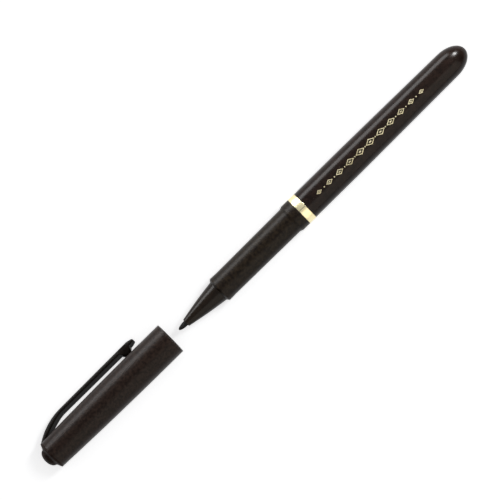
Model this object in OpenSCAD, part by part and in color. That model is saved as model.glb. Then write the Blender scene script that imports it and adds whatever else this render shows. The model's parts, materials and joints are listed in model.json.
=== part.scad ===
// A slim fibre-tip pen with its cap pulled off and lying in line with it.
// The pen's axis is X, with the writing point towards -X and the tail towards +X.
// The origin is on that axis at the barrel's front face, and +Z is up.
// The cap is rolled about the axis until its clip meets the surface that the cap lies on.

/* [Barrel] */
// Outside diameter of the barrel behind the trim ring
barrel_d = 10.4; // [9.6:0.1:12]
// Straight part of the barrel behind the trim ring
barrel_land = 20; // [14:0.5:30]
// Length of the barrel up to its rounded tail
barrel_len = 65; // [50:0.2:80]
// Loss of radius from the straight part to the tail
barrel_taper = 0.37; // [0.1:0.01:0.6]
// Length of the rounded tail
dome_len = 7.8; // [5:0.1:10]
// Wall of the barrel
barrel_wall = 1; // [0.8:0.05:1.2]
// Number of ribs that centre the reservoir in the barrel
rib_count = 6; // [3:1:8]
// Thickness of each rib
rib_t = 0.7; // [0.5:0.1:1]
// Distance of the ribs behind the tenon that is pressed into the barrel
rib_lead = 1; // [0.5:0.1:3]
// Length of the foot on each rib that stops the reservoir
rib_foot = 3; // [1:0.1:3.5]

/* [Trim ring] */
// Length of the trim ring
ring_len = 2.8; // [1.5:0.1:5]
// Wall of the trim ring
ring_wall = 0.45; // [0.3:0.05:0.6]
// How far the ring and the collar stand proud of the barrel
ring_proud = 0.05; // [0:0.01:0.15]
// Width of the butt seam in the rolled ring
seam_w = 0.12; // [0.05:0.01:0.3]

/* [Grip section] */
// Length of the collar in front of the trim ring
collar_len = 3.05; // [2:0.05:5]
// Length of the ramp from the collar down to the grip
collar_ramp = 0.95; // [0.5:0.05:2]
// Height of the collar over the grip
collar_step = 0.41; // [0.3:0.01:0.6]
// Length of the grip from the ramp to the nose cone
grip_len = 32.7; // [25:0.1:42]
// Loss of radius along the grip towards the nose cone
grip_taper = 0.22; // [0:0.01:0.4]
// Length of the sloped shoulder at the front of the grip
shoulder_len = 0.6; // [0.3:0.1:2]
// Height of that shoulder
shoulder_step = 0.65; // [0.2:0.05:0.65]
// Length of the tenon that is pressed into the barrel
tenon_len = 10; // [6:0.5:14]

/* [Nose cone] */
// Length of the nose cone in front of the grip
nose_len = 14.8; // [10:0.1:18]
// Step in radius from the grip down to the nose cone
nose_step = 0.72; // [0.65:0.01:1]
// Wall round the nib at the front of the nose cone
nose_lip = 0.45; // [0.3:0.05:0.7]
// How far the nose cone bulges from a straight taper
nose_bulge = 0.15; // [0:0.01:0.3]
// Length of the nose cone's spigot in the grip
nose_spigot = 6; // [4:0.5:9]
// Length of the bore that holds the nib
nose_hold = 6; // [4:0.5:9]

/* [Nib] */
// Diameter of the nib
nib_d = 1.9; // [1.2:0.1:2.4]
// Length of the nib that shows
nib_out = 3.2; // [2:0.1:5]
// How far the nib reaches into the wick
nib_reach = 6; // [3:0.5:10]

/* [Nib bush] */
// Length of the bush behind the nose cone
bush_len = 5; // [3:0.5:8]
// Number of air slots along the bush
vent_count = 3; // [2:1:6]
// Width of each air slot
vent_w = 0.6; // [0.3:0.1:1]

/* [Ink reservoir] */
// Diameter of the wick
wick_d = 6.2; // [5.4:0.1:6.6]
// Thickness of the film round the wick
film_t = 0.12; // [0.08:0.01:0.2]
// Air space between the wick and the start of the rounded tail
tail_room = 7; // [4:0.5:12]

/* [Cap] */
// Gap between the writing point and the mouth of the cap
cap_gap = 3.8; // [1:0.1:20]
// Wall of the cap at its mouth
cap_wall = 0.91; // [0.8:0.01:1.2]
// Straight part of the cap at its mouth
cap_land = 8.5; // [4:0.5:12]
// Wall of the cap at its closed end
cap_side = 0.72; // [0.6:0.01:0.9]
// Thickness of the cap's end wall
cap_floor = 1.1; // [1:0.05:1.6]
// Free room in front of the writing point when the cap is on
nib_room = 1.3; // [0.4:0.1:2]

/* [Inner cap] */
// Wall of the lip that seals round the nose cone
seal_lip = 0.45; // [0.35:0.01:0.6]
// Length of that lip
seal_len = 4.5; // [3:0.1:6]
// Wall of the inner cap behind the lip
inner_wall = 1; // [0.7:0.05:1.1]
// Thickness of the inner cap's floor
inner_floor = 0.6; // [0.4:0.05:1]

/* [Crown plug] */
// Diameter of the dome
crown_d = 6.5; // [5.4:0.1:6.8]
// Height of the dome
crown_h = 1.9; // [1:0.05:3]
// Thickness of the flange at its rim
flange_rim = 0.65; // [0.5:0.05:1]
// Height that the flange gains from its rim to the dome
flange_rise = 0.85; // [0.3:0.05:1.2]
// Diameter of the stem in the cap's end wall
stem_d = 4; // [3:0.1:4.6]

/* [Clip] */
// Width of the clip
clip_w = 3.2; // [2.4:0.1:3.6]
// Thickness of the clip
clip_t = 1.2; // [0.9:0.05:1.4]
// Height of the clip's outer face over the mouth of the cap
clip_stand = 3.5; // [3:0.1:4.5]
// Thickness that the clip gains from its root to its end
clip_swell = 0.3; // [0:0.05:0.6]
// Length of the rounded end of the clip
clip_nose = 1.5; // [1:0.1:3]
// Length of the curved root
clip_root = 12.3; // [9:0.1:16]
// Thickness that the clip gains in the middle of that root
root_swell = 0.4; // [0:0.05:0.5]
// Distance of the clip's end from the mouth of the cap
clip_setback = 9.2; // [4:0.1:16]
// Radius of the ball that meets the cap
ball_r = 2.1; // [1.8:0.1:3]
// Width of the ball across the clip
ball_w = 2.2; // [1.4:0.1:2.4]
// Distance of the ball's middle from the clip's end
ball_back = 4.4; // [3:0.1:7]
// Diameter of the cross bar at the root
bar_d = 1.1; // [0.8:0.05:1.2]
// Length of the cross bar
bar_len = 4.2; // [3.8:0.1:4.4]
// Distance of the cross bar's axis inside the closed end's edge
bar_inset = 1.55; // [1.4:0.05:1.7]

/* [Fits] */
// Gap all round between pieces that are pressed together
press_gap = 0.02; // [0.01:0.01:0.05]
// Gap all round between the cap and the grip
cap_slip = 0.12; // [0.05:0.01:0.2]
// Gap all round between the inner cap's lip and the nose cone
seal_gap = 0.06; // [0.03:0.01:0.15]
// Gap between the front of the grip and the inner cap when the cap is on
shut_room = 0.6; // [0.3:0.1:1.5]
// Gap all round the cross bar and between the ball and the cap
pivot_gap = 0.08; // [0.05:0.01:0.15]
// Gap on each side of the clip in its slot
slot_gap = 0.15; // [0.1:0.01:0.25]

/* [Hidden] */
$fn = 96;
// Steps along a curved profile
curve_steps = 16;
// Small break on moulded edges
edge = 0.15;
// Overshoot of a cutting shape past the face that it opens
over = 1;

// Radii of the pen, from the barrel to the nib
barrel_r = barrel_d / 2;
tail_r = barrel_r - barrel_taper;
band_r = barrel_r + ring_proud;
barrel_bore_r = barrel_r - barrel_wall;
tenon_r = barrel_bore_r - press_gap;
ring_bore_r = band_r - ring_wall;
ring_seat_r = ring_bore_r - press_gap;
grip_rear_r = band_r - collar_step;
grip_front_r = grip_rear_r - grip_taper;
nose_base_r = grip_front_r - nose_step;
nib_r = nib_d / 2;
nose_front_r = nib_r + nose_lip;
wick_r = wick_d / 2;
film_bore_r = wick_r + press_gap;
film_r = film_bore_r + film_t;
section_bore_r = film_r + press_gap;
spigot_r = section_bore_r - press_gap;
nib_bore_r = nib_r + press_gap;
vent_r = (nib_bore_r + spigot_r) / 2;

// Places along the pen's axis
ring_x = -ring_len;
collar_x = ring_x - collar_len;
seat_x = collar_x - collar_ramp;
grip_x = seat_x - grip_len;
nose_x = grip_x - nose_len;
tip_x = nose_x - nib_out;
spigot_x = grip_x + nose_spigot;
bush_x = spigot_x + bush_len;
nib_end_x = bush_x + nib_reach;
wick_end_x = barrel_len - tail_room;
mouth_x = tip_x - cap_gap;

// Radii and depths of the cap, with depths counted from its mouth
mouth_bore_r = grip_rear_r + cap_slip;
cap_r = mouth_bore_r + cap_wall;
seal_r = nose_base_r + seal_gap;
inner_r = seal_r + seal_lip;
inner_seat_r = inner_r + press_gap;
cap_end_r = inner_seat_r + cap_side;
well_r = inner_r - inner_wall;
inner_u = grip_len + shut_room;
well_u = seat_x - tip_x + nib_room;
inner_end_u = well_u + inner_floor;
cap_len = inner_end_u + cap_floor;
crown_r = crown_d / 2;
crown_u = cap_len + flange_rim + flange_rise;
stem_r = stem_d / 2;

// The clip's profile, as depth from the mouth and height over the axis
clip_out = cap_r + clip_stand;
end_out = clip_out + clip_swell;
root_end = [cap_len + flange_rim / 2, cap_end_r];
root_u = root_end.x - clip_root;
root_drop = clip_out - root_end.y;
root_arc_r = (clip_root * clip_root + root_drop * root_drop) / (2 * root_drop);
root_angle = asin(clip_root / root_arc_r);
bar_h = cap_end_r - bar_inset;
foot_u = cap_len + flange_rim + flange_rise / 2;
ball_u = clip_setback + ball_back;
ball_h = cap_r + pivot_gap + ball_r;
// Roll of the cap at which the clip's lower edge is level with the underside of the cap's mouth
clip_roll = asin(cap_r / norm([end_out, clip_w / 2])) - atan2(clip_w / 2, end_out);

// Outside radius of the barrel behind its straight part
function barrel_r_at(x) = barrel_r - barrel_taper * (x - barrel_land) / (barrel_len - barrel_land);

function cap_x(u) = mouth_x - u;

// Outside radius of the cap at a depth: straight at the mouth, then drawn in along a curve
function cap_r_at(u) =
    let (run = max(0, u - cap_land) / (cap_len - cap_land))
    cap_r - (cap_r - cap_end_r) * run * run;

// Points of a quarter ellipse from the rim at x to its tip on the axis
function dome(r, x, reach) =
    [for (i = [0:curve_steps]) let (a = 90 * i / curve_steps) [r * cos(a), x + reach * sin(a)]];

// Points along the clip's curved root at a depth under its outer face, and deeper in its middle by a swell
function root_arc(depth, swell = 0) =
    [for (i = [0:curve_steps])
        let (run = i / curve_steps, a = root_angle * run)
        let (r = root_arc_r - depth - swell * (1 - cos(360 * run)) / 2)
        [cap_x(root_u + r * sin(a)), clip_out - root_arc_r + r * cos(a)]];

function reversed(list) = [for (i = [len(list) - 1:-1:0]) list[i]];

// Solid turned about the pen's axis from points given as radius and place along the axis
module turned(points) {
    rotate([0, 90, 0])
        rotate_extrude()
            polygon(points);
}

// Cylinder along the pen's axis between two places
module rod(r, from_x, to_x) {
    translate([from_x, 0, 0])
        rotate([0, 90, 0])
            cylinder(r = r, h = to_x - from_x);
}

// Plate in the clip's plane, of a given width across it
module clip_plate(points, width) {
    linear_extrude(height = width, center = true)
        polygon(points);
}

module rolled() {
    rotate([-clip_roll, 0, 0])
        children();
}

// Cross bar at the clip's root, or the groove for it
module cross_bar(r, length) {
    translate([cap_x(cap_len), bar_h, 0])
        cylinder(r = r, h = length, center = true);
}

// Slot for the clip's root and the groove for its cross bar
module clip_pocket() {
    under = root_arc(clip_t + slot_gap, root_swell);
    past = cap_x(crown_u + over);
    clear_h = cap_end_r + root_drop;
    rolled() {
        clip_plate(concat(under, [
            [cap_x(cap_len), bar_h - slot_gap],
            [past, bar_h - slot_gap],
            [past, clear_h],
            [under[0].x, clear_h]
        ]), clip_w + 2 * slot_gap);
        cross_bar(bar_d / 2 + pivot_gap, bar_len + 2 * pivot_gap);
    }
}

// Plates that centre the wick in the barrel, with feet behind it that stop it
module barrel_ribs() {
    start_x = tenon_len + rib_lead;
    stop_x = wick_end_x + press_gap;
    end_x = stop_x + rib_foot;
    rib_bore = film_r + press_gap;
    foot_bore = wick_r / 2;
    sink = barrel_wall / 2;
    for (i = [0:rib_count - 1])
        rotate([90 + 360 * i / rib_count, 0, 0])
            linear_extrude(height = rib_t, center = true)
                polygon([
                    [start_x, rib_bore],
                    [stop_x, rib_bore],
                    [stop_x, foot_bore],
                    [end_x, foot_bore],
                    [end_x, barrel_r_at(end_x) - sink],
                    [barrel_land, barrel_r - sink],
                    [start_x, barrel_r - sink]
                ]);
}

module barrel() {
    color([0.09, 0.08, 0.08]) {
        turned(concat(
            [[barrel_bore_r, 0], [barrel_r, 0], [barrel_r, barrel_land]],
            dome(tail_r, barrel_len, dome_len),
            reversed(dome(tail_r - barrel_wall, barrel_len, dome_len - barrel_wall)),
            [[barrel_bore_r, barrel_land]]
        ));
        barrel_ribs();
    }
}

module trim_ring() {
    color([0.93, 0.84, 0.55])
        difference() {
            turned([
                [ring_bore_r, ring_x],
                [band_r - edge / 2, ring_x],
                [band_r, ring_x + edge / 2],
                [band_r, -edge / 2],
                [band_r - edge / 2, 0],
                [ring_bore_r, 0]
            ]);
            translate([ring_x - over, -seam_w / 2, 0])
                cube([ring_len + 2 * over, seam_w, band_r + over]);
        }
}

module grip_section() {
    color([0.1, 0.095, 0.085])
        turned([
            [section_bore_r, grip_x],
            [grip_front_r - shoulder_step, grip_x],
            [grip_front_r, grip_x + shoulder_len],
            [grip_rear_r, seat_x],
            [band_r, collar_x],
            [band_r, ring_x],
            [ring_seat_r, ring_x],
            [ring_seat_r, 0],
            [tenon_r, 0],
            [tenon_r, tenon_len - edge],
            [tenon_r - edge, tenon_len],
            [section_bore_r, tenon_len]
        ]);
}

module nose_cone() {
    hold_x = nose_x + nose_hold;
    bulged = [for (i = [0:curve_steps]) let (run = i / curve_steps) [
        nose_front_r + (nose_base_r - nose_front_r) * run + nose_bulge * sin(180 * run),
        nose_x + nose_len * run
    ]];
    color([0.06, 0.06, 0.06])
        difference() {
            turned(concat(
                [[nib_bore_r, nose_x]],
                bulged,
                [[spigot_r, grip_x], [spigot_r, spigot_x], [nib_bore_r, spigot_x]]
            ));
            rod(vent_r, hold_x, spigot_x + over);
        }
}

module nib() {
    color([0.03, 0.03, 0.035])
        turned(concat(
            [[0, nib_end_x], [nib_r - edge, nib_end_x], [nib_r, nib_end_x - edge]],
            dome(nib_r, nose_x, -nib_out)
        ));
}

module nib_bush() {
    color([0.85, 0.85, 0.82])
        difference() {
            rod(spigot_r, spigot_x, bush_x);
            rod(nib_bore_r, spigot_x - over, bush_x + over);
            for (i = [0:vent_count - 1])
                rotate([360 * i / vent_count, 0, 0])
                    translate([spigot_x - over, -vent_w / 2, vent_r])
                        cube([bush_len + 2 * over, vent_w, spigot_r]);
        }
}

module reservoir_wick() {
    color([0.2, 0.2, 0.22])
        difference() {
            rod(wick_r, bush_x, wick_end_x);
            rod(nib_bore_r, bush_x - over, nib_end_x + press_gap);
        }
}

module reservoir_film() {
    color([0.8, 0.82, 0.85])
        difference() {
            rod(film_r, bush_x, wick_end_x);
            rod(film_bore_r, bush_x - over, wick_end_x + over);
        }
}

module cap_shell() {
    skin = [for (i = [0:curve_steps])
        let (u = cap_land + (cap_len - cap_land) * i / curve_steps) [cap_r_at(u), cap_x(u)]];
    color([0.11, 0.095, 0.09])
        difference() {
            turned(concat(
                [[mouth_bore_r, mouth_x], [cap_r - edge, mouth_x], [cap_r, mouth_x - edge]],
                skin,
                [
                    [stem_r + press_gap, cap_x(cap_len)],
                    [stem_r + press_gap, cap_x(inner_end_u)],
                    [inner_seat_r, cap_x(inner_end_u)],
                    [inner_seat_r, cap_x(inner_u)],
                    [mouth_bore_r, cap_x(inner_u)]
                ]
            ));
            clip_pocket();
        }
}

module inner_cap() {
    color([0.82, 0.82, 0.8])
        turned([
            [seal_r, cap_x(inner_u)],
            [inner_r, cap_x(inner_u)],
            [inner_r, cap_x(inner_end_u)],
            [0, cap_x(inner_end_u)],
            [0, cap_x(well_u)],
            [well_r, cap_x(well_u)],
            [well_r, cap_x(inner_u + seal_len)],
            [seal_r, cap_x(inner_u + seal_len)]
        ]);
}

module crown_plug() {
    color([0.1, 0.09, 0.09])
        difference() {
            turned(concat(
                [
                    [0, cap_x(inner_end_u + press_gap)],
                    [stem_r, cap_x(inner_end_u + press_gap)],
                    [stem_r, cap_x(cap_len)],
                    [cap_end_r, cap_x(cap_len)],
                    [cap_end_r, cap_x(cap_len + flange_rim)]
                ],
                dome(crown_r, cap_x(crown_u), -crown_h)
            ));
            clip_pocket();
        }
}

module cap_clip() {
    half_t = (clip_t + clip_swell) / 2;
    end_h = end_out - half_t;
    end_round = [for (i = [0:curve_steps]) let (a = 90 - 180 * i / curve_steps)
        [cap_x(clip_setback + clip_nose) + clip_nose * cos(a), end_h + half_t * sin(a)]];
    color([0.05, 0.05, 0.05])
        rolled() {
            clip_plate(concat(
                reversed(root_arc(0)),
                end_round,
                root_arc(clip_t, root_swell),
                [[cap_x(cap_len), bar_h], [cap_x(foot_u), bar_h + slot_gap]]
            ), clip_w);
            cross_bar(bar_d / 2, bar_len);
            intersection() {
                translate([cap_x(ball_u), ball_h, 0])
                    cylinder(r = ball_r, h = ball_w, center = true);
                translate([cap_x(ball_u) - ball_r, 0, -ball_w])
                    cube([2 * ball_r, end_h, 2 * ball_w]);
            }
        }
}

barrel();
trim_ring();
grip_section();
nose_cone();
nib();
nib_bush();
reservoir_wick();
reservoir_film();
cap_shell();
inner_cap();
crown_plug();
cap_clip();
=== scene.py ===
import json
import math

import bmesh
import bpy
from mathutils import Matrix, Vector


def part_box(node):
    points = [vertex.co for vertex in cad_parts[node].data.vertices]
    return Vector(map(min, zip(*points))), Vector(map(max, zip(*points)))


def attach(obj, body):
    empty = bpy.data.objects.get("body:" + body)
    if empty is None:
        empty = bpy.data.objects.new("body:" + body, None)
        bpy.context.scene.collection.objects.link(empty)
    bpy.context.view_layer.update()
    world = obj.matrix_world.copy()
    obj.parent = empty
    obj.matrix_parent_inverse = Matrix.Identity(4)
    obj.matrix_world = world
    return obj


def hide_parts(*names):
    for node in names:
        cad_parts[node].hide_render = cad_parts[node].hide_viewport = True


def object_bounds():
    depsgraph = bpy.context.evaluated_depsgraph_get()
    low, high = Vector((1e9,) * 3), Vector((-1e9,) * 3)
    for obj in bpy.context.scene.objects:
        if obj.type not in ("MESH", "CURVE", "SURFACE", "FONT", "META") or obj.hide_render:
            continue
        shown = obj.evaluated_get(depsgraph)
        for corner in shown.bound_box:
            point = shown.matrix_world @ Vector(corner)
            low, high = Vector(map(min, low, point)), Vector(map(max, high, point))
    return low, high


# Fibre-tip pen with its cap pulled off and lying in front of the point
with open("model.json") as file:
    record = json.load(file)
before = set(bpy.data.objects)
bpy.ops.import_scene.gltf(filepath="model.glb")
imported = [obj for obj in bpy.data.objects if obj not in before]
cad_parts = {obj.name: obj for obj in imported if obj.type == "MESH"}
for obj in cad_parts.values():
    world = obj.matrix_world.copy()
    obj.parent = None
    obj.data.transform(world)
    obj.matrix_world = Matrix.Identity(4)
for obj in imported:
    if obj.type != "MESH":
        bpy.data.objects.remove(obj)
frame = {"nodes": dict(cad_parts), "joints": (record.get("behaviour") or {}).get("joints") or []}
cadLow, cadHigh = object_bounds()
scene = bpy.context.scene
scene.view_settings.view_transform = "Standard"
mm = 0.001
tiny = 1e-6     # two places nearer than this are the same
weld = 1e-7     # vertices nearer than this are merged
cutWeld = 2e-6  # the same where shapes are cut or joined, which leaves short edges
print("frame loaded:", ", ".join(sorted(frame["nodes"])))


# The pen lies along X, with its point towards -X; each turned piece takes its ends from its CAD node's box
def turnedSpan(node):
    low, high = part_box(node)
    return low.x, high.x, -low.y  # front end, rear end, outside radius


barrelFront, tailEnd, barrelRadius = turnedSpan("barrel")
ringFront, ringRear, bandRadius = turnedSpan("trim_ring")
gripFront, tenonEnd, _ = turnedSpan("grip_section")
noseFront, spigotEnd, noseRadius = turnedSpan("nose_cone")
nibTip, nibEnd, nibRadius = turnedSpan("nib")
capEnd, capMouth, capRadius = turnedSpan("cap_shell")
innerEnd, innerLip, innerRadius = turnedSpan("inner_cap")
crownTip, stemEnd, capEndRadius = turnedSpan("crown_plug")
clipHinge = next(joint for joint in frame["joints"] if joint["name"] == "clip_flex")


# Node helpers: a value that is a socket is linked, and any other is set on the input
def putNode(tree, kind, inputs=None, **settings):
    node = tree.nodes.new("ShaderNode" + kind)
    for name, value in settings.items():
        setattr(node, name, value)
    for name, value in (inputs or {}).items():
        if isinstance(value, bpy.types.NodeSocket):
            tree.links.new(value, node.inputs[name])
        else:
            node.inputs[name].default_value = value
    return node


def doMath(tree, operation, first, second=0.0, clamp=False):
    return putNode(tree, "Math", {0: first, 1: second}, operation=operation, use_clamp=clamp).outputs[0]


def mixColours(tree, share, first, second):
    mix = putNode(tree, "Mix", {"Factor": share, 6: first, 7: second}, data_type="RGBA")
    return mix.outputs[2]


def ramp(tree, value, low, high, toLow=0.0, toHigh=1.0):
    limits = {"Value": value, "From Min": low, "From Max": high, "To Min": toLow, "To Max": toHigh}
    return putNode(tree, "MapRange", limits).outputs["Result"]


midNoise = (0.3, 0.7)  # most of a noise lies between these


def noise(tree, place, scale, detail, grain=0.5):
    settings = {"Vector": place, "Scale": scale, "Detail": detail, "Roughness": grain}
    return putNode(tree, "TexNoise", settings).outputs["Fac"]


def objectPlace(tree, stretch=(1, 1, 1)):
    place = putNode(tree, "TexCoord").outputs["Object"]
    return putNode(tree, "Mapping", {"Vector": place, "Scale": stretch}).outputs["Vector"]


def opaque(colour):
    return (*colour, 1)


# Camera: straight down, with the pen running up to the right
cameraView = {
    "lens": 300,               # long lens, so the tube shows no taper of its own
    "turn": -44.56,            # degrees about the view's own axis
    "centre": (-22.85 * mm, 2.30 * mm),
    "frameWidth": 162.5 * mm,  # width of the picture at the height of the pen's axis
}


def makeCamera():
    data = bpy.data.cameras.new("camera")
    data.lens = cameraView["lens"]
    camera = bpy.data.objects.new("camera", data)
    height = cameraView["frameWidth"] * data.lens / data.sensor_width
    camera.location = (*cameraView["centre"], height)
    camera.rotation_euler = (0, 0, math.radians(cameraView["turn"]))
    scene.collection.objects.link(camera)
    scene.camera = camera


# Lights: soft boxes round the pen, each with its direction, distance in metres, size and brightness
softBoxes = {
    "sideStrip": {  # the long highlight
        "from": (0, 0.94, 0.34), "away": 0.45, "size": (0.55, 0.20), "glow": 7.6, "tint": (1, 1, 1),
    },
    "broadFill": {  # warm, from the other side
        "from": (0, -0.79, 0.61), "away": 0.50, "size": (0.80, 0.62), "glow": 1.05, "tint": (1, 0.93, 0.82),
    },
    "tailSpot": {  # the spark on the rounded tail
        "from": (0.68, 0.45, 0.58), "away": 0.25, "size": (0.08, 0.05), "glow": 75.0, "tint": (1, 1, 1),
        "aim": (tailEnd - 4.8 * mm, 0, 0), "roll": -33,
    },
    "endLight": {  # light along the pen, and its shadow on the floor
        "from": (0.57, 0, 0.82), "away": 0.70, "size": (0.10, 0.28), "glow": 9.0, "tint": (1, 1, 1),
    },
}
studio = {
    "zenith": (0.54, 0.54, 0.55), "horizon": (0.13, 0.13, 0.13),
    "aim": (-23 * mm, 0, 0),                             # near the middle of the pen and its cap
    "offFloor": ("sideStrip", "broadFill", "tailSpot"),  # flagged, so that they light the pen alone
    "offGloss": ("endLight",),                           # gives light and shade and no highlight
}


def makeSoftBox(name, box):
    data = bpy.data.lights.new(name, "AREA")
    data.shape = "RECTANGLE"
    data.size, data.size_y = box["size"]
    data.energy = 4 * data.size * data.size_y * box["glow"]  # watts that give a box this brightness
    data.color = box["tint"]
    lamp = bpy.data.objects.new(name, data)
    towards = Vector(box["from"]).normalized()
    lamp.location = Vector(box.get("aim", studio["aim"])) + towards * box["away"]
    rolled = Matrix.Rotation(math.radians(box.get("roll", 0)), 4, "Z")
    lamp.rotation_euler = (towards.to_track_quat("Z", "Y").to_matrix().to_4x4() @ rolled).to_euler()
    lamp.visible_camera = False
    lamp.visible_glossy = name not in studio["offGloss"]
    scene.collection.objects.link(lamp)
    return lamp


def makeWorld():
    # Pale overhead, darker towards the horizon
    world = bpy.data.worlds.new("studio")
    world.use_nodes = True
    tree = world.node_tree
    upward = putNode(tree, "SeparateXYZ", {0: putNode(tree, "TexCoord").outputs["Generated"]}).outputs["Z"]
    share = doMath(tree, "MULTIPLY", upward, upward)
    sky = mixColours(tree, share, opaque(studio["horizon"]), opaque(studio["zenith"]))
    tree.links.new(sky, tree.nodes["Background"].inputs["Color"])
    scene.world = world


# Floor: a plain white sheet that keeps the pen's shadow
floorSheet = {
    "size": 4,                   # metres
    "drop": 0.01 * mm,           # room under the part
    "colour": (0.9, 0.9, 0.9),
    "glow": 0.63,                # white that it shows over its lit surface
}


def makeFloor():
    bm = bmesh.new()
    bmesh.ops.create_grid(bm, x_segments=1, y_segments=1, size=floorSheet["size"])
    bmesh.ops.translate(bm, verts=bm.verts, vec=(0, 0, cadLow.z - floorSheet["drop"]))
    mesh = bpy.data.meshes.new("floor")
    bm.to_mesh(mesh)
    bm.free()
    floor = bpy.data.objects.new("floor", mesh)
    scene.collection.objects.link(floor)
    material = bpy.data.materials.new("floorWhite")
    material.use_nodes = True
    tree = material.node_tree
    tree.nodes.remove(tree.nodes["Principled BSDF"])
    lit = putNode(tree, "BsdfDiffuse", {"Color": opaque(floorSheet["colour"])})
    white = putNode(tree, "Emission", {"Color": (1, 1, 1, 1)})
    rays = putNode(tree, "LightPath").outputs
    seen = doMath(tree, "ADD", rays["Is Camera Ray"], rays["Is Glossy Ray"])
    seen = doMath(tree, "ADD", seen, rays["Is Transmission Ray"], clamp=True)
    tree.links.new(doMath(tree, "MULTIPLY", seen, floorSheet["glow"]), white.inputs["Strength"])
    both = putNode(tree, "AddShader", {0: lit.outputs[0], 1: white.outputs[0]})
    tree.links.new(both.outputs[0], tree.nodes["Material Output"].inputs["Surface"])
    mesh.materials.append(material)
    return floor


def flagOffFloor(lamps, floor):
    flagged = bpy.data.collections.new("flagged")
    flagged.objects.link(floor)
    flagged.collection_objects[0].light_linking.link_state = "EXCLUDE"
    for name in studio["offFloor"]:
        lamps[name].light_linking.receiver_collection = flagged


makeCamera()
makeWorld()
lamps = {name: makeSoftBox(name, box) for name, box in softBoxes.items()}
flagOffFloor(lamps, makeFloor())
print("studio made:", ", ".join(lamps))


# Shared effects: each is a group that is built once and placed in the materials with their own values
def newGroup(name, inputs, outputs):
    tree = bpy.data.node_groups.new(name, "ShaderNodeTree")
    for label, (kind, value) in inputs.items():
        socket = tree.interface.new_socket(label, in_out="INPUT", socket_type="NodeSocket" + kind)
        socket.default_value = value
    for label, kind in outputs.items():
        tree.interface.new_socket(label, in_out="OUTPUT", socket_type="NodeSocket" + kind)
    return tree, tree.nodes.new("NodeGroupInput").outputs, tree.nodes.new("NodeGroupOutput").inputs


def placeGroup(tree, group, values):
    return putNode(tree, "Group", values, node_tree=group).outputs


moulding = {
    "cloudGrain": 0.65, "cloudRange": (0.40, 0.60),      # patches of a second colour
    "rubs": (60, 2600, 2600), "rubRange": (0.56, 0.72),  # rub marks to the metre, drawn out along the pen
    "rubRoughness": 0.3, "rubDepth": 0.15,               # their shares of the roughness and of the pebble
}


def makeMouldedSkin():
    # Moulded plastic: a fine pebble, cloudy colour and faint lengthwise rubbing
    tree, given, result = newGroup("mouldedSkin", {
        "Colour": ("Color", (0.02, 0.02, 0.02, 1)),
        "Cloud": ("Color", (0.03, 0.025, 0.02, 1)),
        "Roughness": ("Float", 0.4),
        "Spread": ("Float", 0.1),
        "Pebbles": ("Float", 6000.0),
        "Patches": ("Float", 620.0),
    }, {"Colour": "Color", "Roughness": "Float", "Height": "Float"})
    place = objectPlace(tree)
    clouds = noise(tree, place, given["Patches"], detail=4.0, grain=moulding["cloudGrain"])
    pebbles = noise(tree, place, given["Pebbles"], detail=2.0)
    rubs = noise(tree, objectPlace(tree, moulding["rubs"]), scale=1.0, detail=4.0)
    rubs = ramp(tree, rubs, *moulding["rubRange"])
    patchy = ramp(tree, clouds, *moulding["cloudRange"])
    tree.links.new(mixColours(tree, patchy, given["Colour"], given["Cloud"]), result["Colour"])
    swing = doMath(tree, "MULTIPLY", doMath(tree, "SUBTRACT", clouds, 0.5), given["Spread"])  # about its mean
    rubShare = doMath(tree, "MULTIPLY", given["Spread"], moulding["rubRoughness"])
    rubbed = doMath(tree, "MULTIPLY", rubs, rubShare)
    roughness = doMath(tree, "ADD", given["Roughness"], doMath(tree, "ADD", swing, rubbed), clamp=True)
    tree.links.new(roughness, result["Roughness"])
    shallow = doMath(tree, "MULTIPLY", rubs, moulding["rubDepth"])
    tree.links.new(doMath(tree, "SUBTRACT", pebbles, shallow), result["Height"])
    return tree


wear = {"chips": 1400.0, "chipRange": (0.42, 0.66), "fade": 1.5}


def makeRimWear():
    # Wear round a rim at one place along the pen: strongest at the rim, broken up by noise
    tree, given, result = newGroup("rimWear", {
        "Rim": ("Float", 0.0),
        "Reach": ("Float", 0.6 * mm),
        "Amount": ("Float", 0.5),
    }, {"Mask": "Float"})
    place = objectPlace(tree)
    along = putNode(tree, "SeparateXYZ", {0: place}).outputs["X"]
    away = doMath(tree, "ABSOLUTE", doMath(tree, "SUBTRACT", along, given["Rim"]))
    near = doMath(tree, "SUBTRACT", 1.0, doMath(tree, "DIVIDE", away, given["Reach"]), clamp=True)
    chips = ramp(tree, noise(tree, place, wear["chips"], detail=5.0), *wear["chipRange"])
    worn = doMath(tree, "MULTIPLY", chips, doMath(tree, "POWER", near, wear["fade"]))
    tree.links.new(doMath(tree, "MULTIPLY", worn, given["Amount"], clamp=True), result["Mask"])
    return tree


lint = {"specks": 900.0, "speckRange": (0.05, 0.11), "patches": 120.0, "patchRange": (0.45, 0.7)}


def makeFineDust():
    # Scattered specks of lint, more of them in patches
    tree, given, result = newGroup("fineDust", {"Density": ("Float", 0.5)}, {"Mask": "Float"})
    place = objectPlace(tree)
    specks = putNode(tree, "TexVoronoi", {"Vector": place, "Scale": lint["specks"], "Randomness": 1.0})
    dots = ramp(tree, specks.outputs["Distance"], *lint["speckRange"], 1.0, 0.0)
    patches = ramp(tree, noise(tree, place, lint["patches"], detail=2.0), *lint["patchRange"])
    dusty = doMath(tree, "MULTIPLY", dots, patches)
    tree.links.new(doMath(tree, "MULTIPLY", dusty, given["Density"], clamp=True), result["Mask"])
    return tree


mouldedSkin = makeMouldedSkin()
rimWear = makeRimWear()
fineDust = makeFineDust()


def newMaterial(name, fixed):
    material = bpy.data.materials.new(name)
    material.use_nodes = True
    tree = material.node_tree
    shader = tree.nodes["Principled BSDF"]
    for label, value in fixed.items():
        shader.inputs[label].default_value = value
    return material, tree, shader


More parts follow.
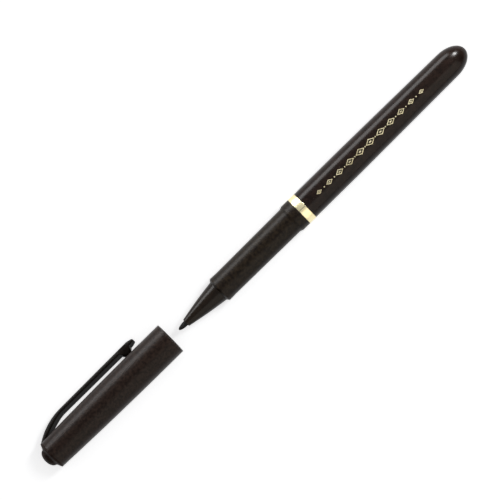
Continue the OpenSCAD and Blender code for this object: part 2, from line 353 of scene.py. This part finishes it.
def setBump(tree, shader, height, depth):
    bump = putNode(tree, "Bump", {"Height": height, "Distance": depth, "Strength": 1.0})
    tree.links.new(bump.outputs["Normal"], shader.inputs["Normal"])


# Black mouldings: the glossy barrel and nose, the satin grip and cap, and the clip
plainBlack = {
    "ior": 1.45, "specular": 0.17, "spread": 0.05, "patch": 1.6 * mm, "rims": (),
    "wear": 0.35, "wornColour": (0.10, 0.095, 0.09), "wornRoughness": 0.25,
    "dust": 0.12, "dustColour": (0.22, 0.21, 0.20),
}
barrelFinish = {
    **plainBlack, "colour": (0.0042, 0.0022, 0.0015), "cloud": (0.0086, 0.0046, 0.0032),
    "roughness": 0.23, "pebble": 0.60 * mm, "depth": 0.0006 * mm, "rims": (barrelFront,),
}
gripFinish = {
    **plainBlack, "colour": (0.0028, 0.0013, 0.0005), "cloud": (0.0102, 0.0066, 0.0034), "patch": 1.0 * mm,
    "specular": 0.15, "roughness": 0.36, "pebble": 0.45 * mm, "depth": 0.034 * mm, "rims": (ringFront,),
}
noseFinish = {
    **plainBlack, "colour": (0.0048, 0.0027, 0.0014), "cloud": (0.0076, 0.0046, 0.0026),
    "roughness": 0.26, "pebble": 0.50 * mm, "depth": 0.0006 * mm, "rims": (noseFront,),
}
capFinish = {
    **plainBlack, "colour": (0.0036, 0.0012, 0.0005), "cloud": (0.0128, 0.0072, 0.0050), "patch": 0.9 * mm,
    "specular": 0.15, "roughness": 0.36, "pebble": 0.55 * mm, "depth": 0.055 * mm, "rims": (capMouth,),
}
crownFinish = {**capFinish, "specular": 0.08, "roughness": 0.50, "rims": ()}
clipFinish = {
    **plainBlack, "colour": (0.0020, 0.0012, 0.0007), "cloud": (0.0034, 0.0022, 0.0014),
    "specular": 0.07, "roughness": 0.24, "pebble": 0.22 * mm, "depth": 0.001 * mm,
}


def blackPlastic(name, finish):
    # One moulded black, with wear at the rims that its finish names and a little dust
    fixed = {"IOR": finish["ior"], "Specular IOR Level": finish["specular"]}
    material, tree, shader = newMaterial(name, fixed)
    skin = placeGroup(tree, mouldedSkin, {
        "Colour": opaque(finish["colour"]),
        "Cloud": opaque(finish["cloud"]),
        "Roughness": finish["roughness"],
        "Spread": finish["spread"],
        "Pebbles": 1 / finish["pebble"],
        "Patches": 1 / finish["patch"],
    })
    colour, roughness = skin["Colour"], skin["Roughness"]
    for rim in finish["rims"]:
        worn = placeGroup(tree, rimWear, {"Rim": rim, "Amount": finish["wear"]})["Mask"]
        colour = mixColours(tree, worn, colour, opaque(finish["wornColour"]))
        roughness = doMath(tree, "ADD", roughness, doMath(tree, "MULTIPLY", worn, finish["wornRoughness"]))
    dust = placeGroup(tree, fineDust, {"Density": finish["dust"]})["Mask"]
    colour = mixColours(tree, dust, colour, opaque(finish["dustColour"]))
    tree.links.new(colour, shader.inputs["Base Color"])
    tree.links.new(roughness, shader.inputs["Roughness"])
    setBump(tree, shader, skin["Height"], finish["depth"])
    return material


goldFinish = {
    "colour": (0.87, 0.79, 0.50), "tarnish": (0.76, 0.63, 0.34), "roughness": (0.31, 0.36),
    "lines": (20000, 120, 120), "lineDepth": 0.0005 * mm,  # turned lines to the metre, round the ring
    "stains": 420.0, "stainRange": (0.52, 0.75), "stained": 0.45,
    "rimReach": 0.35 * mm, "rimAmount": 0.8,
}


def goldPlate():
    # Polished plate with fine lines round the ring, from its turning, and a little tarnish at its rims
    material, tree, shader = newMaterial("goldPlate", {"Metallic": 1.0})
    lines = noise(tree, objectPlace(tree, goldFinish["lines"]), scale=1.0, detail=3.0)
    stains = noise(tree, objectPlace(tree), goldFinish["stains"], detail=4.0)
    share = ramp(tree, stains, *goldFinish["stainRange"], 0.0, goldFinish["stained"])
    tarnish = opaque(goldFinish["tarnish"])
    colour = mixColours(tree, share, opaque(goldFinish["colour"]), tarnish)
    for rim in (ringFront, ringRear):
        edge = {"Rim": rim, "Reach": goldFinish["rimReach"], "Amount": goldFinish["rimAmount"]}
        colour = mixColours(tree, placeGroup(tree, rimWear, edge)["Mask"], colour, tarnish)
    tree.links.new(colour, shader.inputs["Base Color"])
    tree.links.new(ramp(tree, lines, *midNoise, *goldFinish["roughness"]), shader.inputs["Roughness"])
    setBump(tree, shader, lines, goldFinish["lineDepth"])
    return material


foilFinish = {
    "colour": (0.80, 0.73, 0.48), "thin": (0.50, 0.44, 0.26), "roughness": (0.28, 0.53),
    "flakes": 5200.0, "flakeDepth": 0.004 * mm, "rubs": 700.0, "rubRange": (0.45, 0.72),
}


def goldFoil():
    # Hot-stamped foil: a muted gold, thinner in patches
    material, tree, shader = newMaterial("goldFoil", {"Metallic": 1.0})
    flakes = noise(tree, objectPlace(tree), foilFinish["flakes"], detail=3.0)
    rubs = noise(tree, objectPlace(tree), foilFinish["rubs"], detail=3.0)
    rubbed = ramp(tree, rubs, *foilFinish["rubRange"])
    colour = mixColours(tree, rubbed, opaque(foilFinish["colour"]), opaque(foilFinish["thin"]))
    tree.links.new(colour, shader.inputs["Base Color"])
    tree.links.new(ramp(tree, flakes, *midNoise, *foilFinish["roughness"]), shader.inputs["Roughness"])
    setBump(tree, shader, flakes, foilFinish["flakeDepth"])
    return material


fibreFinish = {
    "colour": (0.004, 0.004, 0.005), "pale": (0.007, 0.0065, 0.006), "roughness": (0.62, 0.85),
    "paleRange": (0.35, 0.75), "ior": 1.4, "specular": 0.25,
    "strand": 0.09 * mm, "drawn": 20, "depth": 0.03 * mm,  # width of a strand, length against it, relief
}
wickFinish = {
    **fibreFinish, "colour": (0.04, 0.04, 0.05), "pale": (0.12, 0.12, 0.13),
    "strand": 0.14 * mm, "depth": 0.05 * mm,
}


def fibreBundle(name, finish):
    # Bonded strands that run along the pen
    fixed = {"IOR": finish["ior"], "Specular IOR Level": finish["specular"]}
    material, tree, shader = newMaterial(name, fixed)
    across = 1 / finish["strand"]
    drawn = objectPlace(tree, (across / finish["drawn"], across, across))
    strands = noise(tree, drawn, scale=1.0, detail=4.0)
    share = ramp(tree, strands, *finish["paleRange"])
    colour = mixColours(tree, share, opaque(finish["colour"]), opaque(finish["pale"]))
    tree.links.new(colour, shader.inputs["Base Color"])
    tree.links.new(ramp(tree, strands, *midNoise, *finish["roughness"]), shader.inputs["Roughness"])
    setBump(tree, shader, strands, finish["depth"])
    return material


naturalFinish = {
    "colour": (0.80, 0.80, 0.76), "cloud": (0.72, 0.72, 0.67), "roughness": 0.42, "ior": 1.5,
    "pebble": 0.2 * mm, "depth": 0.006 * mm,
}
filmFinish = {**naturalFinish, "colour": (0.72, 0.75, 0.79), "cloud": (0.80, 0.82, 0.84), "roughness": 0.25}


def palePlastic(name, finish):
    # Unpigmented moulded plastic, slightly cloudy
    material, tree, shader = newMaterial(name, {"IOR": finish["ior"]})
    skin = placeGroup(tree, mouldedSkin, {
        "Colour": opaque(finish["colour"]),
        "Cloud": opaque(finish["cloud"]),
        "Roughness": finish["roughness"],
        "Pebbles": 1 / finish["pebble"],
    })
    tree.links.new(skin["Colour"], shader.inputs["Base Color"])
    tree.links.new(skin["Roughness"], shader.inputs["Roughness"])
    setBump(tree, shader, skin["Height"], finish["depth"])
    return material


barrelBlack = blackPlastic("barrelBlack", barrelFinish)
gripBlack = blackPlastic("gripBlack", gripFinish)
noseBlack = blackPlastic("noseBlack", noseFinish)
capBlack = blackPlastic("capBlack", capFinish)
crownBlack = blackPlastic("crownBlack", crownFinish)
clipBlack = blackPlastic("clipBlack", clipFinish)
ringGold = goldPlate()
printGold = goldFoil()
nibFibre = fibreBundle("nibFibre", fibreFinish)
wickFibre = fibreBundle("wickFibre", wickFinish)
naturalPlastic = palePlastic("naturalPlastic", naturalFinish)
clearFilm = palePlastic("clearFilm", filmFinish)
print("materials made:", len(bpy.data.materials))


# Mesh helpers
def turn(points, steps=128, closed=False, angle=math.tau):
    # Spins an outline of (place along the pen, radius) about the pen's axis
    bm = bmesh.new()
    outline = [bm.verts.new((x, 0, radius)) for x, radius in points]
    others = outline[1:] + outline[:1] if closed else outline[1:]
    edges = [bm.edges.new(pair) for pair in zip(outline, others)]
    whole = angle == math.tau
    bmesh.ops.spin(bm, geom=outline + edges, cent=(0, 0, 0), axis=(1, 0, 0), angle=angle, steps=steps,
                   use_merge=whole)
    bmesh.ops.remove_doubles(bm, verts=bm.verts, dist=weld)
    if not whole:
        bmesh.ops.holes_fill(bm, edges=[edge for edge in bm.edges if edge.is_boundary], sides=0)
    bmesh.ops.recalc_face_normals(bm, faces=bm.faces)
    return bm


def softenRims(bm, width, rims, segments=3):
    # Rounds the edges of a turned piece that run round it at the given places and radii
    def onRim(vert):
        radius = math.hypot(vert.co.y, vert.co.z)
        return {i for i, (x, r) in enumerate(rims) if abs(vert.co.x - x) < tiny and abs(radius - r) < tiny}
    edges = [edge for edge in bm.edges if onRim(edge.verts[0]) & onRim(edge.verts[1])]
    bmesh.ops.bevel(bm, geom=edges, offset=width, segments=segments, profile=0.5, affect="EDGES", material=-1)


def ellipse(x, radius, reach, steps=24):
    # Outline of a dome, from its rim at x to its top on the axis
    angles = [math.pi / 2 * i / steps for i in range(steps)]
    return [(x + reach * math.sin(a), radius * math.cos(a)) for a in angles] + [(x + reach, 0)]


def combine(bm, tool, operation):
    # Joins a shape to another or cuts it out, and gives back the result
    objects = []
    for shape in (bm, tool):
        mesh = bpy.data.meshes.new("shape")
        shape.to_mesh(mesh)
        shape.free()
        objects.append(bpy.data.objects.new("shape", mesh))
        scene.collection.objects.link(objects[-1])
    target, other = objects
    change = target.modifiers.new("combine", "BOOLEAN")
    change.object, change.operation, change.solver = other, operation, "EXACT"
    made = target.evaluated_get(bpy.context.evaluated_depsgraph_get())
    result = bmesh.new()
    result.from_mesh(made.data)
    for shape in objects:
        mesh = shape.data
        bpy.data.objects.remove(shape)
        bpy.data.meshes.remove(mesh)
    bmesh.ops.remove_doubles(result, verts=result.verts, dist=cutWeld)
    bmesh.ops.recalc_face_normals(result, faces=result.faces)
    return result


crispAngle = 32  # degrees; edges that turn more than this are shaded sharp


def addPiece(name, bm, material, body, node=None):
    cutFaces = [face for face in bm.faces if len(face.verts) > 4]
    bmesh.ops.triangulate(bm, faces=cutFaces, ngon_method="BEAUTY")  # leaves fewer slivers along the cuts
    mesh = bpy.data.meshes.new(name)
    bm.to_mesh(mesh)
    bm.free()
    mesh.shade_smooth()
    mesh.set_sharp_from_angle(angle=math.radians(crispAngle))
    mesh.materials.append(material)
    piece = bpy.data.objects.new(name, mesh)
    scene.collection.objects.link(piece)
    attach(piece, body)
    if node:
        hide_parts(node)
    print("piece made:", name, len(mesh.polygons), "faces")


# Barrel: one moulded tube with a rounded tail
barrel = {
    "land": 20 * mm,     # straight part behind the trim ring
    "taper": 0.37 * mm,  # loss of radius from there to the tail
    "dome": 7.8 * mm,    # length of the rounded tail
    "wall": 1.0 * mm,
    "edge": 0.14 * mm,   # rounding of the front edge
}
domeStart = tailEnd - barrel["dome"]


def barrelRadiusAt(x):
    run = max(0, x - barrel["land"]) / (domeStart - barrel["land"])
    return barrelRadius - barrel["taper"] * run


def makeBarrel():
    wall, tailRadius = barrel["wall"], barrelRadius - barrel["taper"]
    outside = [(barrelFront, barrelRadius), (barrel["land"], barrelRadius)]
    outside += ellipse(domeStart, tailRadius, barrel["dome"])
    inside = [(barrelFront, barrelRadius - wall), (barrel["land"], barrelRadius - wall)]
    inside += ellipse(domeStart, tailRadius - wall, barrel["dome"] - wall)
    bm = turn(inside[::-1] + outside)
    softenRims(bm, barrel["edge"], [(barrelFront, barrelRadius)])
    addPiece("pen_barrel", bm, barrelBlack, "pen", "barrel")


# Trim ring: a rolled strip of gold plate, with its ends meeting in a seam on top
trimRing = {"wall": 0.45 * mm, "seam": 0.12 * mm, "edge": 0.11 * mm}


def makeTrimRing():
    inside = bandRadius - trimRing["wall"]
    outline = [(ringFront, inside), (ringFront, bandRadius), (ringRear, bandRadius), (ringRear, inside)]
    gap = trimRing["seam"] / bandRadius
    bm = turn(outline, closed=True, angle=math.tau - gap)
    bmesh.ops.rotate(bm, verts=bm.verts, matrix=Matrix.Rotation(gap / 2, 3, "X"))
    softenRims(bm, trimRing["edge"], [(ringFront, bandRadius), (ringRear, bandRadius)])
    addPiece("gold_trim_ring", bm, ringGold, "pen", "trim_ring")


# Grip section: satin tube with a collar behind and a sloped shoulder in front
grip = {
    "collar": 3.05 * mm, "ramp": 0.95 * mm, "step": 0.41 * mm,          # collar that the cap seats on
    "taper": 0.22 * mm, "shoulder": 0.6 * mm, "drop": 0.65 * mm,        # grip and the slope at its front
    "bead": 0.09 * mm, "beadLength": 1.0 * mm, "beadFade": 2.0 * mm,    # slight swell behind the shoulder
    "bore": 3.26 * mm, "ringSeat": 4.78 * mm, "tenon": 4.18 * mm,
    "crestEdge": 0.14 * mm, "rampEdge": 0.3 * mm, "endEdge": 0.12 * mm,
}
collarFront = ringFront - grip["collar"]
seatFront = collarFront - grip["ramp"]
gripRear = bandRadius - grip["step"]
gripRadius = gripRear - grip["taper"]


def makeGrip():
    shoulderTop = gripFront + grip["shoulder"]
    shoulderFoot = gripRadius - grip["drop"]
    beadEnd = shoulderTop + grip["beadLength"]
    beadRadius = gripRadius + grip["bead"]
    bm = turn([
        (gripFront, grip["bore"]),
        (gripFront, shoulderFoot),
        (shoulderTop, beadRadius),
        (beadEnd, beadRadius),
        (beadEnd + grip["beadFade"], gripRadius + grip["bead"] / 4),
        (seatFront, gripRear),
        (collarFront, bandRadius),
        (ringFront, bandRadius),
        (ringFront, grip["ringSeat"]),
        (ringRear, grip["ringSeat"]),
        (ringRear, grip["tenon"]),
        (tenonEnd, grip["tenon"]),
        (tenonEnd, grip["bore"]),
    ], closed=True)
    softenRims(bm, grip["crestEdge"], [(shoulderTop, beadRadius), (collarFront, bandRadius)], segments=4)
    softenRims(bm, grip["rampEdge"], [(seatFront, gripRear)], segments=4)
    softenRims(bm, grip["endEdge"], [(ringFront, bandRadius), (gripFront, shoulderFoot)])
    addPiece("grip_tube", bm, gripBlack, "pen", "grip_section")


# Nose cone: glossy, slightly bulged cone that holds the nib
nose = {
    "lip": 0.45 * mm, "bulge": 0.15 * mm, "fit": 0.02 * mm, "edge": 0.16 * mm,
    "hold": 6 * mm, "spigot": 3.24 * mm, "vent": 2.105 * mm,
    "steps": 20,
}


def makeNose():
    frontRadius = nibRadius + nose["lip"]
    bore = nibRadius + nose["fit"]
    cone = []
    for i in range(nose["steps"] + 1):
        run = i / nose["steps"]
        radius = frontRadius + (noseRadius - frontRadius) * run + nose["bulge"] * math.sin(math.pi * run)
        cone.append((noseFront + (gripFront - noseFront) * run, radius))
    holdEnd = noseFront + nose["hold"]
    bm = turn([(noseFront, bore)] + cone + [
        (gripFront, nose["spigot"]),
        (spigotEnd, nose["spigot"]),
        (spigotEnd, nose["vent"]),
        (holdEnd, nose["vent"]),
        (holdEnd, bore),
    ], closed=True)
    softenRims(bm, nose["edge"], [(noseFront, frontRadius)], segments=4)
    addPiece("glossy_nose", bm, noseBlack, "pen", "nose_cone")


# Nib: bonded fibre rod, ground to a point
nib = {"edge": 0.15 * mm}


def makeNib():
    point = ellipse(noseFront, nibRadius, nibTip - noseFront)
    bm = turn([(nibEnd, 0), (nibEnd, nibRadius)] + point, steps=64)
    softenRims(bm, nib["edge"], [(nibEnd, nibRadius)], segments=2)
    addPiece("fibre_nib", bm, nibFibre, "pen", "nib")


# Gold ornament on top of the barrel: a row of lozenges with dots between them, largest in the middle
ornament = {
    "start": 4 * mm, "end": 55 * mm,         # places along the barrel
    "count": 11,                             # lozenges in the row
    "small": 0.60 * mm, "large": 1.15 * mm,  # half heights at the ends and in the middle
    "stretch": 1.7,                          # length of a lozenge against its height
    "core": (0.45, 0.22),                    # half length and half height of its core, in its half heights
    "line": 0.26 * mm, "dot": 0.22 * mm,
    "facet": 0.4 * mm,                       # longer edges are divided, to follow the barrel
    "lift": 0.012 * mm, "sink": 0.006 * mm,  # top and underside of the foil against the barrel
}


def makeOrnament():
    bm = bmesh.new()
    pitch = (ornament["end"] - ornament["start"]) / ornament["count"]
    coreLength, coreHeight = ornament["core"]
    for i in range(ornament["count"]):
        swell = math.sin(math.pi * (i + 0.5) / ornament["count"])
        half = ornament["small"] + (ornament["large"] - ornament["small"]) * swell
        middle = Matrix.Translation((ornament["start"] + pitch * (i + 0.5), 0, 0))
        shape = middle @ Matrix.Diagonal((half * ornament["stretch"], half, 1, 1))
        made = bmesh.ops.create_circle(bm, cap_ends=True, segments=4, radius=1, matrix=shape)
        face = made["verts"][0].link_faces[0]
        bmesh.ops.inset_region(bm, faces=[face], thickness=ornament["line"], use_boundary=True,
                               use_even_offset=True)
        bmesh.ops.delete(bm, geom=[face], context="FACES")
        core = middle @ Matrix.Diagonal((half * coreLength, half * coreHeight, 1, 1))
        bmesh.ops.create_circle(bm, cap_ends=True, segments=16, radius=1, matrix=core)
        if i:
            between = middle @ Matrix.Translation((-pitch / 2, 0, 0))
            bmesh.ops.create_circle(bm, cap_ends=True, segments=16, radius=ornament["dot"], matrix=between)
    longEdges = [edge for edge in bm.edges if edge.calc_length() > ornament["facet"]]
    bmesh.ops.subdivide_edges(bm, edges=longEdges, cuts=5, use_grid_fill=True)
    bmesh.ops.recalc_face_normals(bm, faces=bm.faces)
    thick = bmesh.ops.extrude_face_region(bm, geom=bm.faces[:], use_keep_orig=True)
    top = {item for item in thick["geom"] if isinstance(item, bmesh.types.BMVert)}
    for vert in bm.verts:  # lays the flat drawing round the barrel
        radius = barrelRadiusAt(vert.co.x) + (ornament["lift"] if vert in top else -ornament["sink"])
        angle = vert.co.y / barrelRadius
        vert.co = (vert.co.x, radius * math.sin(angle), radius * math.cos(angle))
    bmesh.ops.recalc_face_normals(bm, faces=bm.faces)
    addPiece("gold_ornament", bm, printGold, "pen")


# Clip: sprung strip with a curved root, a ball near its end and a cross bar that the cap holds
clip = {
    "width": 3.2 * mm, "thick": 1.2 * mm, "swell": 0.3 * mm,  # section, and what it gains towards its end
    "corner": 0.22 * mm,                                      # rounding of the strip's edges
    "stand": 3.5 * mm, "setback": 9.2 * mm,                   # height over the cap, and place of its end
    "nose": 2.6 * mm, "tip": 0.55 * mm,                       # drawn-in end, and the round tip on it
    "tipThick": 0.62, "tipWidth": 0.5,                        # shares of the section at the tip
    "root": 12.3 * mm, "rootSwell": 0.4 * mm,                 # curved root, and what it gains in its middle
    "foot": 0.325 * mm,                                       # reach of the root past the cap's end
    "footLean": 0.3, "footThick": 0.9,                        # slope into the bar, and share of its width
    "ballBack": 4.4 * mm, "ballReach": 2.1 * mm,              # place of the ball, and half its length
    "ballFull": 0.7, "ballNarrow": 0.25, "ballRound": 0.6,    # fullness; width and depth that its sides lose
    "bar": 1.1 * mm, "barLength": 4.2 * mm,
    "slotGap": 0.15 * mm, "pivotGap": 0.08 * mm,              # room in the slot, and at the bar and the ball
    "tipSteps": 16, "stripSteps": 240, "rootSteps": 24,
}
clipRoll = math.atan2(clipHinge["axis"][1], clipHinge["axis"][2])
clipTurn = Matrix.Rotation(-clipRoll, 4, "X")  # from the clip's own plane, with Y away from the cap
barX = clipHinge["pos_m"][0]
barHeight = math.hypot(*clipHinge["pos_m"][1:])
clipOut = capRadius + clip["stand"]
rootEndX = capEnd - clip["foot"]
rootStartX = rootEndX + clip["root"]
rootDrop = clipOut - capEndRadius
rootRadius = (clip["root"] ** 2 + rootDrop ** 2) / (2 * rootDrop)
rootAngle = math.asin(clip["root"] / rootRadius)


def rootSwellAt(run):
    return clip["rootSwell"] * (1 - math.cos(math.tau * run)) / 2


def crossBar(radius, length):
    bm = bmesh.new()
    bmesh.ops.create_cone(bm, cap_ends=True, segments=48, radius1=radius, radius2=radius, depth=length,
                          matrix=Matrix.Translation((barX, barHeight, 0)))
    return bm


def clipPocket():
    # Slot for the clip's root, with the groove for its cross bar
    bm = bmesh.new()
    steps = clip["rootSteps"]
    under = rootRadius - clip["thick"] - clip["slotGap"]
    centre = Vector((rootStartX, clipOut - rootRadius, 0))
    start = bm.verts.new(centre + Vector((0, under, 0)))
    bmesh.ops.spin(bm, geom=[start], cent=centre, axis=(0, 0, 1), angle=rootAngle, steps=steps)
    for i, vert in enumerate(bm.verts):
        vert.co = centre + (vert.co - centre) * (1 - rootSwellAt(i / steps) / under)
    past, floor = crownTip - mm, barHeight - clip["slotGap"]  # the slot runs out past the crown
    for x, height in ((barX, floor), (past, floor), (past, clipOut), (rootStartX, clipOut)):
        bm.verts.new((x, height, 0))
    side = bmesh.ops.contextual_create(bm, geom=bm.verts[:])["faces"]
    wide = clip["width"] + 2 * clip["slotGap"]
    bmesh.ops.translate(bm, verts=bm.verts, vec=(0, 0, -wide / 2))
    other = bmesh.ops.extrude_face_region(bm, geom=side)["geom"]
    bmesh.ops.translate(bm, verts=[v for v in other if isinstance(v, bmesh.types.BMVert)], vec=(0, 0, wide))
    bmesh.ops.recalc_face_normals(bm, faces=bm.faces)
    groove = crossBar(clip["bar"] / 2 + clip["pivotGap"], clip["barLength"] + 2 * clip["pivotGap"])
    bm = combine(bm, groove, "UNION")
    bmesh.ops.transform(bm, matrix=clipTurn, verts=bm.verts)
    return bm


def clipStrip(x):
    # Height of the middle and thickness of the strip between its drawn-in end and its root
    endX = capMouth - clip["setback"] - clip["nose"]
    run = min(max((endX - x) / (endX - rootStartX), 0), 1)
    thick = clip["thick"] + clip["swell"] * (1 - run)
    return clipOut + clip["swell"] * (1 - run) - thick / 2, thick


def clipStations():
    # Sections along the clip, from its tip to its foot: place, height, direction, share of width, thickness
    endX = capMouth - clip["setback"]
    tipX, fullX = endX - clip["tip"], endX - clip["nose"]
    endHeight, endThick = clipStrip(fullX)
    straight = (-1, 0)

    def drawnIn(x, full):
        return x, endHeight, straight, clip["tipWidth"] + (1 - clip["tipWidth"]) * full, endThick * full
    for i in range(1, clip["tipSteps"] + 1):  # round tip
        bend = math.pi / 2 * i / clip["tipSteps"]
        yield drawnIn(endX - clip["tip"] * (1 - math.cos(bend)), clip["tipThick"] * math.sin(bend))
    for i in range(1, clip["tipSteps"] + 1):  # from the tip to the full section
        run = i / clip["tipSteps"]
        gain = (1 - clip["tipThick"]) * math.sin(math.pi / 2 * run)
        yield drawnIn(tipX + (fullX - tipX) * run, clip["tipThick"] + gain)
    for i in range(1, clip["stripSteps"] + 1):  # strip
        x = fullX + (rootStartX - fullX) * i / clip["stripSteps"]
        height, thick = clipStrip(x)
        yield x, height, straight, 1, thick
    for i in range(1, clip["rootSteps"] + 1):  # curved root
        run = i / clip["rootSteps"]
        bend = rootAngle * run
        thick = clip["thick"] + rootSwellAt(run)
        radius = rootRadius - thick / 2
        x = rootStartX - radius * math.sin(bend)
        height = clipOut - rootRadius + radius * math.cos(bend)
        yield x, height, (-math.cos(bend), -math.sin(bend)), 1, thick
    yield barX, barHeight + clip["bar"] / 4, (-clip["footLean"], -1), 1, clip["bar"] * clip["footThick"]


def swellBall(bm):
    # Draws the strip's inner face out to the ball that meets the cap
    ballX = capMouth - clip["setback"] - clip["ballBack"]
    height, thick = clipStrip(ballX)
    drop = height - thick / 2 - capRadius - clip["pivotGap"]
    for vert in bm.verts:
        run = (vert.co.x - ballX) / clip["ballReach"]
        if abs(run) < 1 and vert.co.y < clipStrip(vert.co.x)[0] - tiny:
            full = (1 - run ** 2) ** clip["ballFull"]
            side = 2 * vert.co.z / clip["width"]
            vert.co.y -= drop * full * (1 - clip["ballRound"] * side ** 2)
            vert.co.z *= 1 - clip["ballNarrow"] * full


def makeClip():
    bm = bmesh.new()
    bmesh.ops.create_grid(bm, x_segments=8, y_segments=1, size=0.5)
    bmesh.ops.dissolve_faces(bm, faces=bm.faces[:])
    bmesh.ops.scale(bm, verts=bm.verts, vec=(clip["width"], clip["thick"], 1))
    corners = [vert for vert in bm.verts if abs(vert.co.x) > clip["width"] / 2 - tiny]
    bmesh.ops.bevel(bm, geom=corners, offset=clip["corner"], segments=4, profile=0.5, affect="VERTICES",
                    material=-1)
    bm.faces.ensure_lookup_table()
    face, before = bm.faces[0], Matrix.Identity(4)
    across = Vector((0, 0, 1))
    for i, (x, height, way, widthShare, thick) in enumerate(clipStations()):
        along = Vector((*way, 0)).normalized()
        turned = Matrix((across, along.cross(across), along)).transposed().to_4x4()
        sized = Matrix.Diagonal((widthShare, thick / clip["thick"], 1, 1))
        here = Matrix.Translation((x, height, 0)) @ turned @ sized
        if i:
            made = bmesh.ops.extrude_face_region(bm, geom=[face])["geom"]
            if i > 1:
                bmesh.ops.delete(bm, geom=[face], context="FACES_ONLY")
            face = next(item for item in made if isinstance(item, bmesh.types.BMFace))
        bmesh.ops.transform(bm, matrix=here @ before.inverted(), verts=face.verts)
        before = here
    swellBall(bm)
    bmesh.ops.recalc_face_normals(bm, faces=bm.faces)
    bm = combine(bm, crossBar(clip["bar"] / 2, clip["barLength"]), "UNION")
    bmesh.ops.transform(bm, matrix=clipTurn, verts=bm.verts)
    addPiece("sprung_clip", bm, clipBlack, "clip", "cap_clip")


# Cap shell: satin tube, straight at its mouth and drawn in towards its closed end
cap = {
    "wall": 0.91 * mm, "land": 8.5 * mm, "seat": 4.43 * mm, "stemHole": 2.02 * mm, "edge": 0.16 * mm,
    "steps": 24,
}


def makeCap():
    bore = capRadius - cap["wall"]
    landEnd = capMouth - cap["land"]
    skin = []
    for i in range(cap["steps"] + 1):
        run = i / cap["steps"]
        skin.append((landEnd + (capEnd - landEnd) * run, capRadius - (capRadius - capEndRadius) * run ** 2))
    bm = turn([(capMouth, bore), (capMouth, capRadius)] + skin + [
        (capEnd, cap["stemHole"]),
        (innerEnd, cap["stemHole"]),
        (innerEnd, cap["seat"]),
        (innerLip, cap["seat"]),
        (innerLip, bore),
    ], closed=True)
    softenRims(bm, cap["edge"], [(capMouth, capRadius), (capMouth, bore)])
    bm = combine(bm, clipPocket(), "DIFFERENCE")
    addPiece("cap_tube", bm, capBlack, "cap", "cap_shell")


# Inner cap: pale liner that seals round the nose cone
innerCap = {
    "seal": 3.96 * mm, "sealLength": 4.5 * mm, "wall": 1.0 * mm, "floor": 0.6 * mm, "edge": 0.14 * mm,
}


def makeInnerCap():
    well = innerRadius - innerCap["wall"]
    sealEnd = innerLip - innerCap["sealLength"]
    wellEnd = innerEnd + innerCap["floor"]
    bm = turn([
        (innerEnd, 0), (innerEnd, innerRadius), (innerLip, innerRadius), (innerLip, innerCap["seal"]),
        (sealEnd, innerCap["seal"]), (sealEnd, well), (wellEnd, well), (wellEnd, 0),
    ])
    rims = [(innerLip, innerRadius), (innerLip, innerCap["seal"]), (sealEnd, well)]
    softenRims(bm, innerCap["edge"], rims)
    addPiece("cap_liner", bm, naturalPlastic, "cap", "inner_cap")


# Crown plug: domed plug with a sloped flange, in the closed end of the cap
crown = {"dome": 3.25 * mm, "height": 1.9 * mm, "rim": 0.65 * mm, "stem": 2.0 * mm, "edge": 0.14 * mm}


def makeCrown():
    rimX = capEnd - crown["rim"]
    domeX = crownTip + crown["height"]
    bm = turn([
        (stemEnd, 0), (stemEnd, crown["stem"]), (capEnd, crown["stem"]), (capEnd, capEndRadius),
        (rimX, capEndRadius),
    ] + ellipse(domeX, crown["dome"], -crown["height"]))
    softenRims(bm, crown["edge"], [(rimX, capEndRadius)])
    softenRims(bm, 2 * crown["edge"], [(domeX, crown["dome"])])
    bm = combine(bm, clipPocket(), "DIFFERENCE")
    addPiece("domed_crown", bm, crownBlack, "cap", "crown_plug")


def dressNode(node, material):
    for slot in frame["nodes"][node].material_slots:
        slot.material = material


makeBarrel()
makeTrimRing()
makeGrip()
makeNose()
makeNib()
makeOrnament()
makeCap()
makeInnerCap()
makeCrown()
makeClip()
dressNode("nib_bush", naturalPlastic)
dressNode("reservoir_wick", wickFibre)
dressNode("reservoir_film", clearFilm)
